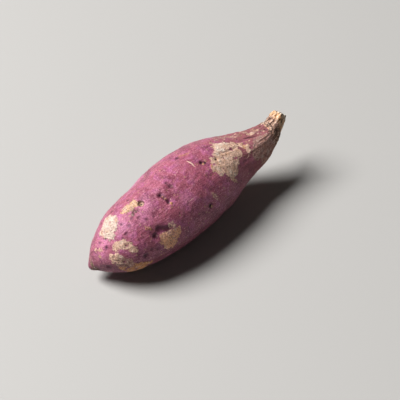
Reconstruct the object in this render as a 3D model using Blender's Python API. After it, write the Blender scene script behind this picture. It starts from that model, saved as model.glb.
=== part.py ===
"""A purple sweet potato lying on its belly, with its root tip towards -X and its stem end towards +X.

The tuber grew in one piece, so it is one solid: a spindle that swells from a small corky root tip to its
belly, and runs out through a ridged neck into the woody stub where the vine broke off. Its skin has
shallow eyes, set in dents, and long soft flats between its lobes.

A place on the skin has two coordinates. Along is the share of the length from the root tip to the end of
the stub. Clock is the angle round the mid-line in degrees: 0 is up, 90 is the -Y side, 180 is down.
"""

import math
from dataclasses import dataclass

import bmesh
import bpy
from mathutils import Vector

MM = 0.001

# Driving dimensions.
LENGTH = 170 * MM
GREATEST_RADIUS = 27.6 * MM
BELLY_PRESS = 1.3 * MM  # how far the belly is pressed flat where it lies

# The grid of the skin: rings from tip to tip, and points round each ring.
RINGS = 88
SIDES = 56

# The neck is where the ridges run, and the stub is bare wood.
NECK_START = 0.66
STUB_START = 0.93
NECK_RIDGE_COUNT = 5
NECK_RIDGE_HEIGHT = 0.055  # share of the neck's own radius
NECK_RIDGE_TWIST = 40.0  # degrees that a ridge would turn over the whole length
STUB_SPLINTER_COUNT = 9
STUB_SPLINTER_HEIGHT = 0.06
STUB_SLANT = 1.5 * MM  # how much further the break reaches on one side than in its middle
STUB_SLANT_CLOCK = 125.0
STUB_RIM = 0.9945  # where the side of the stub ends and the break begins
STUB_HOLLOW = 0.9 * MM  # depth of the break's middle below its rim

SKIN_COLOUR = (0.36, 0.10, 0.24, 1.0)
SKIN_ROUGHNESS = 0.55


@dataclass(frozen=True)
class Station:
    """One cross-section of the spindle."""

    along: float  # share of LENGTH
    sway: float  # sideways from the chord between the tips, + towards +Y
    lift: float  # above the mid-line's height at the belly
    girth: float  # share of GREATEST_RADIUS


STATIONS = (
    Station(0.000, -1.6 * MM, -16.4 * MM, 0.00),
    Station(0.016, -2.4 * MM, -14.4 * MM, 0.17),
    Station(0.065, -4.8 * MM, -9.6 * MM, 0.50),
    Station(0.153, -7.4 * MM, -3.8 * MM, 0.80),
    Station(0.258, -7.5 * MM, -1.1 * MM, 0.91),
    Station(0.447, -3.3 * MM, 0.0 * MM, 1.00),
    Station(0.582, -1.3 * MM, 0.6 * MM, 0.94),
    Station(0.670, -1.6 * MM, 1.8 * MM, 0.81),
    Station(0.753, -3.3 * MM, 3.7 * MM, 0.62),
    Station(0.847, -5.6 * MM, 7.5 * MM, 0.44),
    Station(0.912, -5.0 * MM, 11.6 * MM, 0.30),
    Station(0.958, -3.2 * MM, 15.2 * MM, 0.205),
    Station(0.995, -1.2 * MM, 18.3 * MM, 0.145),
    Station(1.000, -1.0 * MM, 18.7 * MM, 0.00),
)


@dataclass(frozen=True)
class Lobe:
    """A wave round the cross-section, which turns slowly along the length."""

    waves: int
    height: float  # share of the radius
    clock: float  # where its crest lies at the root tip
    twist: float  # degrees that the crest turns over the whole length


LOBES = (
    Lobe(2, 0.014, 60.0, 70.0),
    Lobe(3, 0.016, 20.0, -80.0),
    Lobe(4, 0.009, 75.0, 45.0),
    Lobe(7, 0.004, 10.0, -30.0),
)


@dataclass(frozen=True)
class Eye:
    """A bud or root scar, sunk in a round dent."""

    along: float
    clock: float
    radius: float
    depth: float


EYES = (
    Eye(0.236, 4.0, 4.5 * MM, 1.1 * MM),
    Eye(0.306, 13.0, 4.5 * MM, 1.0 * MM),
    Eye(0.310, 27.0, 4.5 * MM, 1.1 * MM),
    Eye(0.216, 56.0, 4.5 * MM, 1.0 * MM),
    Eye(0.245, 56.0, 7.0 * MM, 1.1 * MM),
    Eye(0.595, 22.0, 4.5 * MM, 0.6 * MM),
    Eye(0.535, 16.0, 4.5 * MM, 0.7 * MM),
    Eye(0.458, 71.0, 5.0 * MM, 0.7 * MM),
    Eye(0.482, -17.0, 4.5 * MM, 0.5 * MM),
    Eye(0.105, 14.0, 4.5 * MM, 0.6 * MM),
    Eye(0.160, 125.0, 5.0 * MM, 0.9 * MM),
    Eye(0.390, 140.0, 6.0 * MM, 0.8 * MM),
    Eye(0.670, 130.0, 6.0 * MM, 0.9 * MM),
    Eye(0.230, 225.0, 6.0 * MM, 1.1 * MM),
    Eye(0.450, 245.0, 6.5 * MM, 1.2 * MM),
    Eye(0.600, 270.0, 5.5 * MM, 0.9 * MM),
    Eye(0.320, 275.0, 5.5 * MM, 1.0 * MM),
    Eye(0.720, 235.0, 5.5 * MM, 0.9 * MM),
)


def slopes_of(keys, values):
    """The slope at each key of a smooth curve that doesn't overshoot its values."""
    steps = [
        (values[i + 1] - values[i]) / (keys[i + 1] - keys[i])
        for i in range(len(keys) - 1)
    ]
    slopes = [steps[0]]
    for before, after in zip(steps, steps[1:]):
        same_way = before * after > 0
        slopes.append(2 * before * after / (before + after) if same_way else 0.0)
    return slopes + [steps[-1]]


def curve_through(keys, values):
    """A function that follows the values smoothly from key to key."""
    slopes = slopes_of(keys, values)

    def value_at(place):
        i = max(0, min(len(keys) - 2, sum(place >= key for key in keys) - 1))
        width = keys[i + 1] - keys[i]
        t = (place - keys[i]) / width
        start, end = values[i], values[i + 1]
        rise_out, rise_in = slopes[i] * width, slopes[i + 1] * width
        return (
            start * (1 + 2 * t) * (1 - t) ** 2
            + rise_out * t * (1 - t) ** 2
            + end * t**2 * (3 - 2 * t)
            + rise_in * t**2 * (t - 1)
        )

    return value_at


STATION_KEYS = [station.along for station in STATIONS]
sway_at = curve_through(STATION_KEYS, [station.sway for station in STATIONS])
lift_at = curve_through(STATION_KEYS, [station.lift for station in STATIONS])
# The square of the girth grows evenly from a blunt tip, so that is what is followed.
girth_squared_at = curve_through(STATION_KEYS, [s.girth**2 for s in STATIONS])


def fade_in(place, start, end):
    """0 before start, 1 after end, and a soft step between them."""
    t = max(0.0, min(1.0, (place - start) / (end - start)))
    return t * t * (3 - 2 * t)


def spine(along):
    """The mid-line's point at this share of the length."""
    height = GREATEST_RADIUS - BELLY_PRESS + lift_at(along)
    return Vector((along * LENGTH, sway_at(along), height))


def outward(along, clock):
    """The direction away from the mid-line, square to its run on both sides of this place."""
    reach = 0.05
    tangent = spine(min(1.0, along + reach)) - spine(max(0.0, along - reach))
    side = tangent.cross(Vector((0, 0, 1))).normalized()
    top = side.cross(tangent).normalized()
    angle = math.radians(clock)
    return top * math.cos(angle) + side * math.sin(angle)


def radius_at(along, clock):
    """The skin's distance from the mid-line, before the eyes are sunk into it."""
    radius = GREATEST_RADIUS * math.sqrt(max(0.0, girth_squared_at(along)))
    shape = 1.0
    for lobe in LOBES:
        turn = clock - lobe.clock - lobe.twist * along
        shape += lobe.height * math.cos(lobe.waves * math.radians(turn))
    on_neck = fade_in(along, NECK_START, STUB_START)
    neck_turn = math.radians(clock - NECK_RIDGE_TWIST * along)
    neck_ridges = math.cos(NECK_RIDGE_COUNT * neck_turn)
    shape += NECK_RIDGE_HEIGHT * on_neck * neck_ridges
    on_stub = fade_in(along, STUB_START, 1.0)
    splinters = math.cos(STUB_SPLINTER_COUNT * math.radians(clock))
    return radius * (shape + STUB_SPLINTER_HEIGHT * on_stub * splinters)


def break_shift(along, clock):
    """How far the stub's end is moved along the length, for its slanting, hollow break."""
    slant = STUB_SLANT * math.cos(math.radians(clock - STUB_SLANT_CLOCK))
    to_rim = fade_in(along, STUB_START, STUB_RIM)
    past_rim = fade_in(along, STUB_RIM, 1.0)
    return slant * to_rim * (1 - past_rim) - STUB_HOLLOW * past_rim


def bare_point(along, clock):
    """The skin's point before the eyes are sunk into it."""
    point = spine(along) + outward(along, clock) * radius_at(along, clock)
    point.x += break_shift(along, clock)
    return point


EYE_CENTRES = [(eye, bare_point(eye.along, eye.clock)) for eye in EYES]


def eye_depth(point):
    """How deep the eyes' round dents are at a point of the skin."""
    depth = 0.0
    for eye, centre in EYE_CENTRES:
        distance = (point - centre).length / eye.radius
        depth += eye.depth * math.exp(-2 * distance**2)
    return depth


def skin_point(along, clock):
    """The finished skin's point, on or above the surface that the tuber lies on."""
    point = bare_point(along, clock)
    point -= outward(along, clock) * eye_depth(point)
    point.z = max(point.z, 0.0)
    return point


def grow_tuber(bm):
    """Turns a sphere with its poles at the two tips into the tuber."""
    bmesh.ops.create_uvsphere(bm, u_segments=SIDES, v_segments=RINGS, radius=1.0)
    for vert in bm.verts:
        along = (1 + vert.co.z) / 2
        clock = math.degrees(math.atan2(-vert.co.x, vert.co.y)) % 360
        vert.co = skin_point(along, clock)


def centre_over_origin(bm):
    """Moves the tuber sideways until the middle of its box is over the origin."""
    for axis in (0, 1):
        places = [vert.co[axis] for vert in bm.verts]
        middle = (min(places) + max(places)) / 2
        for vert in bm.verts:
            vert.co[axis] -= middle


def skin_material():
    """Dull, slightly sheeny purple skin."""
    material = bpy.data.materials.new("purple_skin")
    material.use_nodes = True
    shader = material.node_tree.nodes["Principled BSDF"]
    shader.inputs["Base Color"].default_value = SKIN_COLOUR
    shader.inputs["Roughness"].default_value = SKIN_ROUGHNESS
    material.diffuse_color = SKIN_COLOUR
    return material


def make_tuber(collection):
    """The tuber's object, in its collection."""
    bm = bmesh.new()
    grow_tuber(bm)
    centre_over_origin(bm)
    mesh = bpy.data.meshes.new("tuber")
    bm.to_mesh(mesh)
    bm.free()
    mesh.shade_smooth()
    mesh.materials.append(skin_material())
    tuber = bpy.data.objects.new("tuber", mesh)
    collection.objects.link(tuber)
    return tuber


def main():
    for old in list(bpy.data.objects):
        bpy.data.objects.remove(old)
    collection = bpy.data.collections.new("purple_sweet_potato")
    bpy.context.scene.collection.children.link(collection)
    make_tuber(collection)


if __name__ == "__main__":
    main()
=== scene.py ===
"""The looks of a purple sweet potato: its skin, scurf, eyes, cracked neck and broken woody stub.

The tuber's own solid sets its size and form. This script takes a finer copy of it, works the small
relief into that copy, marks on it where each kind of surface lies, and gives it one skin material
that reads the marks. A place on the skin is a share of the length, from the root tip to the stub's
end, and a clock angle round the mid-line in degrees: 0 is up, 90 is the -Y side, 180 is down and
270 is the +Y side.
"""

import logging
import math
from collections.abc import Iterable
from dataclasses import dataclass, field
from enum import Enum

import bmesh
import bpy
import numpy as np
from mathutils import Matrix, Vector, noise
from mathutils.bvhtree import BVHTree


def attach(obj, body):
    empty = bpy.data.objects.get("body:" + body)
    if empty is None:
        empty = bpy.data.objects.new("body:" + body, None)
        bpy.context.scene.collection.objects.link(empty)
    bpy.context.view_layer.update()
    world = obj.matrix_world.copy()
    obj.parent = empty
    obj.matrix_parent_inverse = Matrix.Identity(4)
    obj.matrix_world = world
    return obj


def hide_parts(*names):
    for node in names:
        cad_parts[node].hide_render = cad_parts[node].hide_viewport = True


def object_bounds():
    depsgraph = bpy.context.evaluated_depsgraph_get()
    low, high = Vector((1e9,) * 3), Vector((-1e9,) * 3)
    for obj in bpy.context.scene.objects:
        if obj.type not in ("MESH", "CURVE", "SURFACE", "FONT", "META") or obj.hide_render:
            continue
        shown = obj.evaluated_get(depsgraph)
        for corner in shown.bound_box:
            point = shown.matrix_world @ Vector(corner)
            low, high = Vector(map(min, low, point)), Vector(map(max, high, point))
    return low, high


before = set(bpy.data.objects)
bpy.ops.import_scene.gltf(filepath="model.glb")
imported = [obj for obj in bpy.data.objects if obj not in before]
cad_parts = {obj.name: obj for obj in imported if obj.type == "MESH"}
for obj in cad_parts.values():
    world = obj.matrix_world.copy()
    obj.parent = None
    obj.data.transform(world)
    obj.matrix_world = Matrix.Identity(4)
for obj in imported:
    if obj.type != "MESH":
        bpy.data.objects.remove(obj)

CAD_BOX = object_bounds()
MM = 0.001
ROOT_BODY = "root"
TUBER_NODE = "tuber"

# Sockets of a colour Mix node, and of a float one.
FACTOR, COLOUR_A, COLOUR_B, COLOUR_OUT = 0, 6, 7, 2
FLOAT_A, FLOAT_B, FLOAT_OUT = 2, 3, 0

# Types that the signatures name.
Tree = bpy.types.NodeTree
Socket = bpy.types.NodeSocket
Colour = tuple[float, float, float, float]

LOG = logging.getLogger("sweet_potato")


def linear(hex_colour: str) -> Colour:
    """Turns an sRGB hex colour into linear light.

    Args:
        hex_colour: Six hex digits after a hash, such as "#c07098".

    Returns:
        Red, green, blue and an alpha of 1.
    """
    parts = [int(hex_colour[i : i + 2], 16) / 255 for i in (1, 3, 5)]
    red, green, blue = (
        c / 12.92 if c <= 0.04045 else ((c + 0.055) / 1.055) ** 2.4 for c in parts
    )
    return red, green, blue, 1.0


def add_node(
    tree: Tree, kind: str, links: dict | None = None, **settings: object
) -> bpy.types.Node:
    """Adds a node, sets it up and joins its inputs.

    Args:
        tree: The node tree that gets the node.
        kind: The node's type name.
        links: Input name or number to a socket that feeds it, or to its value.
        **settings: The node's own properties.

    Returns:
        The new node.
    """
    node = tree.nodes.new(kind)
    for name, value in settings.items():
        setattr(node, name, value)
    for name, value in (links or {}).items():
        if isinstance(value, Socket):
            tree.links.new(value, node.inputs[name])
        else:
            node.inputs[name].default_value = value
    return node


def soft_step(values: np.ndarray, start: float, end: float) -> np.ndarray:
    """Rises from 0 at start to 1 at end along a soft S.

    Args:
        values: Where to read the step.
        start: Where it leaves 0.
        end: Where it reaches 1.

    Returns:
        The step at each value.
    """
    t = np.clip((values - start) / (end - start), 0.0, 1.0)
    return t * t * (3 - 2 * t)


def bumps(places: np.ndarray, sizes_mm: tuple[float, float, float], seed: float) -> np.ndarray:
    """Reads a soft noise at many places.

    Args:
        places: One point a row, in metres.
        sizes_mm: Size of the noise's bumps along each axis.
        seed: Moves the noise to another part of its pattern.

    Returns:
        The noise at each place, about -0.6 to 0.6.
    """
    scaled = places / (np.array(sizes_mm) * MM) + seed
    return np.array([noise.noise(Vector(place)) for place in scaled])


class ScurfTone(Enum):
    """The colours that corky scurf weathers to."""

    CHALK = "#efdccb"
    CREAM = "#ccb5a6"
    STRAW = "#d0a785"
    TAN = "#dcb49c"
    GREY = "#aa8276"
    BROWN = "#e4ab87"
    ORANGE = "#bf8658"
    OLIVE = "#563c31"


@dataclass(frozen=True)
class ScurfPatch:
    """A patch where the skin has turned to pale cork.

    Attributes:
        tone: The cork's colour.
        cover: How much of the purple it hides, from 0 to 1.
        blobs: Share, clock and radius in millimetres of the round parts that make up the patch.
        rise_mm: How far it stands above the skin round it.
    """

    tone: ScurfTone
    cover: float
    blobs: tuple[tuple[float, float, float], ...]
    rise_mm: float = 0.0

    @property
    def raggedness(self) -> float:
        """How torn its edge is, from 0 to 1; a small speck keeps its shape."""
        return min(1.0, max(radius for _, _, radius in self.blobs) / 3.0)


@dataclass(frozen=True)
class Eye:
    """A bud, a root scar or a pore.

    Attributes:
        share: Place along the length.
        clock: Place round the mid-line, in degrees.
        hole_mm: Radius of the black hole in its middle, or 0.
        stain_and_shade_mm: Radius of the skin that is darkened round it, partly stain and partly
            painted shade of its hollow, or 0.
        reach_mm: Radius of the hollow that it lies in.
        depth_mm: Depth of that hollow.
        floor_mm: Radius of the pale worn floor round the hole, or 0.
        wall_mm: Radius of the brown cup round the floor, or 0.
    """

    share: float
    clock: float
    hole_mm: float
    stain_and_shade_mm: float
    reach_mm: float
    depth_mm: float
    floor_mm: float = 0.0
    wall_mm: float = 0.0


@dataclass(frozen=True)
class Stroke:
    """A thin line on the skin, such as a crack, a crease or a healed scratch.

    Attributes:
        points: Share and clock of the places that it runs through.
        half_width_mm: Half its width at the middle; it tapers to its ends.
        depth_mm: How deep it is cut.
    """

    points: tuple[tuple[float, float], ...]
    half_width_mm: float
    depth_mm: float


PATCHES = (
    # The large patch over the shoulder, with its tongue down the side.
    ScurfPatch(
        ScurfTone.TAN,
        1.0,
        (
            (0.640, 3.0, 3.8), (0.673, 6.0, 3.8), (0.706, 11.0, 3.4), (0.734, 15.0, 2.4),
            (0.751, 27.0, 2.2), (0.748, 36.0, 1.6), (0.615, 16.0, 4.0), (0.657, 25.0, 4.4),
            (0.697, 30.0, 4.0), (0.580, 20.0, 2.8), (0.602, 30.0, 4.4), (0.640, 40.0, 5.0),
            (0.669, 44.0, 2.6), (0.562, 31.0, 2.6), (0.580, 39.0, 3.4), (0.615, 50.0, 4.0),
            (0.644, 56.0, 2.4), (0.618, 61.0, 2.4), (0.622, 69.0, 1.4),
        ),
        0.15,
    ),
    ScurfPatch(
        ScurfTone.CHALK,
        1.0,
        (
            (0.640, 2.0, 1.8), (0.660, 1.0, 1.8), (0.682, 2.0, 1.6), (0.632, 8.0, 1.8),
            (0.648, 11.0, 1.6), (0.614, 14.0, 1.7), (0.600, 25.0, 1.4), (0.572, 35.0, 1.2),
            (0.620, 50.0, 1.6), (0.632, 59.0, 1.2),
        ),
        0.1,
    ),
    # Orange specks where the large patch ends.
    ScurfPatch(
        ScurfTone.ORANGE,
        1.0,
        ((0.746, 25.0, 1.2), (0.590, 33.0, 0.8), (0.640, 48.0, 0.7), (0.622, 30.0, 0.6)),
    ),
    # Grey scurf that wraps the neck and lets the purple through.
    ScurfPatch(
        ScurfTone.GREY,
        0.93,
        (
            (0.800, 27.0, 2.6), (0.790, 38.0, 3.0), (0.775, 47.0, 2.6), (0.825, 24.0, 3.0),
            (0.850, 38.0, 4.2), (0.825, 48.0, 4.8), (0.870, 56.0, 4.0), (0.840, 66.0, 4.6),
            (0.800, 64.0, 3.6), (0.775, 56.0, 3.6), (0.880, 76.0, 3.6), (0.845, 86.0, 4.4),
            (0.870, 100.0, 4.6), (0.820, 102.0, 3.0), (0.900, 92.0, 3.2), (0.800, 84.0, 2.6),
            (0.885, 30.0, 2.8),
        ),
    ),
    # Thin grey streaks along the neck's upper edge.
    ScurfPatch(
        ScurfTone.GREY,
        0.88,
        ((0.675, -27.0, 1.4), (0.700, -27.0, 1.8), (0.725, -22.0, 2.0), (0.745, -20.0, 1.4)),
    ),
    ScurfPatch(
        ScurfTone.GREY,
        0.84,
        ((0.770, -16.0, 1.6), (0.800, -20.0, 1.8), (0.835, -14.0, 2.2)),
    ),
    # Dull mottling along the shoulder's upper edge, and a faint rub mark on the side.
    ScurfPatch(
        ScurfTone.GREY,
        0.87,
        ((0.638, -12.0, 1.4), (0.672, -16.0, 1.8), (0.702, -19.0, 2.0), (0.730, -16.0, 1.6)),
    ),
    ScurfPatch(ScurfTone.TAN, 0.82, ((0.497, 60.0, 1.2), (0.504, 65.0, 1.5), (0.512, 70.0, 1.2))),
    # Flake of bark on the neck's upper side.
    ScurfPatch(
        ScurfTone.TAN,
        0.95,
        ((0.801, -8.0, 1.3), (0.811, -5.0, 1.5), (0.821, -2.5, 1.3)),
        0.35,
    ),
    # Pale and dark flecks over the neck's upper side.
    ScurfPatch(
        ScurfTone.TAN,
        0.85,
        (
            (0.700, -12.0, 0.7), (0.735, -8.0, 0.6), (0.752, -14.0, 0.9), (0.766, -26.0, 0.8),
            (0.792, -30.0, 1.0), (0.780, 14.0, 0.6), (0.835, 2.0, 0.8), (0.848, -9.0, 1.0),
            (0.862, 6.0, 0.8),
        ),
    ),
    ScurfPatch(
        ScurfTone.OLIVE,
        0.88,
        (
            (0.742, -2.0, 0.6), (0.775, -14.0, 0.5), (0.798, 16.0, 0.5), (0.842, 10.0, 0.6),
            (0.856, -2.0, 0.6), (0.866, -16.0, 0.7),
        ),
    ),
    # Brown cork where the neck turns to bark.
    ScurfPatch(
        ScurfTone.BROWN,
        0.95,
        ((0.888, 33.0, 2.2), (0.892, -7.0, 1.8), (0.886, 10.0, 1.6), (0.905, 66.0, 2.2)),
        0.25,
    ),
    # Cream patch on the root end's upper side.
    ScurfPatch(
        ScurfTone.CREAM,
        1.0,
        (
            (0.112, -28.0, 3.7), (0.120, -15.0, 3.0), (0.088, -20.0, 3.6), (0.101, -4.0, 3.9),
            (0.079, -2.0, 3.7), (0.070, -20.0, 2.7), (0.079, 10.0, 2.8), (0.066, -4.0, 1.6),
        ),
        0.1,
    ),
    ScurfPatch(
        ScurfTone.STRAW,
        0.8,
        ((0.070, -21.0, 1.6), (0.115, -30.0, 1.2), (0.062, -8.0, 1.0)),
    ),
    # Straw patch that runs up to the ringed eye.
    ScurfPatch(
        ScurfTone.STRAW,
        1.0,
        (
            (0.165, -5.0, 2.0), (0.180, -5.0, 2.9), (0.195, -3.0, 2.9), (0.210, -6.0, 2.3),
            (0.215, -1.0, 2.3),
        ),
        0.1,
    ),
    ScurfPatch(ScurfTone.CREAM, 0.9, ((0.175, -8.0, 1.2), (0.195, -1.5, 1.1), (0.210, -4.0, 0.9))),
    # Dark spots between that patch and the pores below it.
    ScurfPatch(
        ScurfTone.OLIVE,
        0.9,
        ((0.177, 10.0, 1.1), (0.185, 8.5, 0.8), (0.192, 9.0, 0.9), (0.193, 4.0, 0.6)),
    ),
    # Tan patch low on the root end.
    ScurfPatch(
        ScurfTone.TAN,
        1.0,
        (
            (0.074, 37.0, 2.6), (0.089, 40.0, 2.8), (0.102, 48.0, 2.8), (0.108, 58.0, 1.7),
            (0.119, 64.0, 1.7), (0.063, 40.0, 1.3),
        ),
    ),
    ScurfPatch(ScurfTone.OLIVE, 0.7, ((0.098, 46.0, 1.2), (0.100, 49.0, 0.9))),
    # Tan patch that turns grey, then orange, as it runs under the root end.
    ScurfPatch(
        ScurfTone.TAN,
        0.95,
        ((0.048, 55.0, 2.1), (0.061, 59.0, 2.4), (0.049, 66.0, 2.1), (0.062, 76.0, 2.2)),
        0.2,
    ),
    ScurfPatch(
        ScurfTone.GREY,
        0.95,
        (
            (0.074, 73.0, 2.1), (0.088, 83.0, 2.4), (0.075, 92.0, 2.8), (0.096, 97.0, 2.6),
            (0.058, 86.0, 1.8),
        ),
        0.2,
    ),
    ScurfPatch(
        ScurfTone.ORANGE,
        0.95,
        (
            (0.109, 102.0, 2.4), (0.130, 103.0, 2.6), (0.150, 104.0, 2.2), (0.168, 106.0, 1.6),
            (0.098, 116.0, 3.2), (0.072, 106.0, 2.2), (0.140, 118.0, 3.8), (0.115, 130.0, 3.4),
        ),
    ),
    # Brown patch under the hollows.
    ScurfPatch(
        ScurfTone.BROWN,
        0.92,
        (
            (0.240, 74.0, 4.2), (0.265, 76.0, 4.8), (0.285, 76.0, 3.6), (0.245, 86.0, 3.4),
            (0.235, 67.0, 2.4), (0.265, 88.0, 3.0), (0.300, 72.0, 2.0),
        ),
    ),
    ScurfPatch(ScurfTone.TAN, 0.82, ((0.260, 70.0, 2.2), (0.280, 59.0, 2.2), (0.290, 64.0, 1.8))),
    # Specks of pale cork by the eyes.
    ScurfPatch(ScurfTone.ORANGE, 0.85, ((0.309, 17.0, 0.6), (0.313, 23.0, 0.7)), 0.2),
    ScurfPatch(ScurfTone.ORANGE, 1.0, ((0.321, 33.5, 0.9),), 0.5),
    ScurfPatch(ScurfTone.GREY, 0.9, ((0.213, 62.5, 0.4),), 0.1),
    ScurfPatch(
        ScurfTone.ORANGE,
        0.84,
        ((0.190, 42.0, 1.1), (0.197, 45.0, 0.9), (0.203, 48.0, 0.7)),
    ),
    ScurfPatch(ScurfTone.STRAW, 0.9, ((0.500, 62.0, 0.8), (0.477, 76.5, 1.0))),
    ScurfPatch(
        ScurfTone.ORANGE,
        0.88,
        ((0.533, 16.0, 0.8), (0.557, 26.0, 0.8), (0.549, 14.0, 0.7)),
        0.15,
    ),
    ScurfPatch(
        ScurfTone.ORANGE,
        0.86,
        ((0.490, -16.5, 0.9), (0.504, -17.0, 1.1), (0.519, -13.5, 1.1)),
    ),
    ScurfPatch(ScurfTone.STRAW, 0.84, ((0.026, -8.0, 1.4), (0.034, 12.0, 1.8), (0.022, 30.0, 1.2))),
    # The root tip: pinkish grey, and dried dark below where the root snapped off.
    ScurfPatch(ScurfTone.GREY, 0.80, ((0.007, -42.0, 1.5), (0.005, 0.0, 1.2), (0.006, 70.0, 0.9))),
    ScurfPatch(
        ScurfTone.OLIVE,
        0.95,
        ((0.006, 120.0, 1.2), (0.010, 155.0, 2.6), (0.015, 135.0, 1.8)),
    ),
    ScurfPatch(ScurfTone.TAN, 0.66, ((0.362, 15.0, 0.8), (0.369, 19.0, 0.6))),
    # The far side and the underside, which weathered in the same way.
    ScurfPatch(
        ScurfTone.TAN,
        0.98,
        (
            (0.300, 236.0, 4.6), (0.330, 228.0, 4.2), (0.350, 241.0, 4.8), (0.380, 234.0, 3.6),
            (0.325, 250.0, 3.2), (0.400, 246.0, 2.2),
        ),
        0.15,
    ),
    ScurfPatch(
        ScurfTone.CREAM,
        1.0,
        ((0.150, 262.0, 3.0), (0.170, 254.0, 3.4), (0.185, 264.0, 2.4), (0.160, 244.0, 2.2)),
        0.1,
    ),
    ScurfPatch(
        ScurfTone.GREY,
        0.88,
        (
            (0.610, 205.0, 4.6), (0.650, 214.0, 5.0), (0.690, 203.0, 4.2), (0.720, 220.0, 3.4),
            (0.640, 190.0, 3.6),
        ),
    ),
    ScurfPatch(
        ScurfTone.TAN,
        1.0,
        ((0.560, 285.0, 3.0), (0.585, 291.0, 3.4), (0.605, 282.0, 2.4), (0.640, 287.0, 1.6)),
        0.15,
    ),
    ScurfPatch(
        ScurfTone.BROWN,
        0.9,
        ((0.410, 172.0, 4.0), (0.440, 180.0, 4.4), (0.470, 170.0, 3.4), (0.380, 182.0, 2.6)),
    ),
    ScurfPatch(
        ScurfTone.ORANGE,
        0.92,
        ((0.200, 170.0, 4.4), (0.230, 178.0, 3.6), (0.170, 160.0, 3.6), (0.215, 158.0, 2.8)),
    ),
    ScurfPatch(
        ScurfTone.GREY,
        0.86,
        ((0.830, 215.0, 4.2), (0.855, 240.0, 3.6), (0.870, 200.0, 4.0), (0.800, 228.0, 3.0)),
    ),
    ScurfPatch(ScurfTone.STRAW, 0.9, ((0.470, 262.0, 1.6), (0.480, 266.0, 1.2))),
    ScurfPatch(ScurfTone.STRAW, 0.9, ((0.340, 142.0, 1.8), (0.352, 146.0, 1.3))),
    ScurfPatch(ScurfTone.TAN, 0.9, ((0.540, 128.0, 2.4), (0.555, 134.0, 2.0))),
    ScurfPatch(
        ScurfTone.BROWN,
        0.95,
        ((0.890, 150.0, 2.6), (0.895, 205.0, 2.4), (0.885, 265.0, 2.6)),
        0.25,
    ),
)

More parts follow.
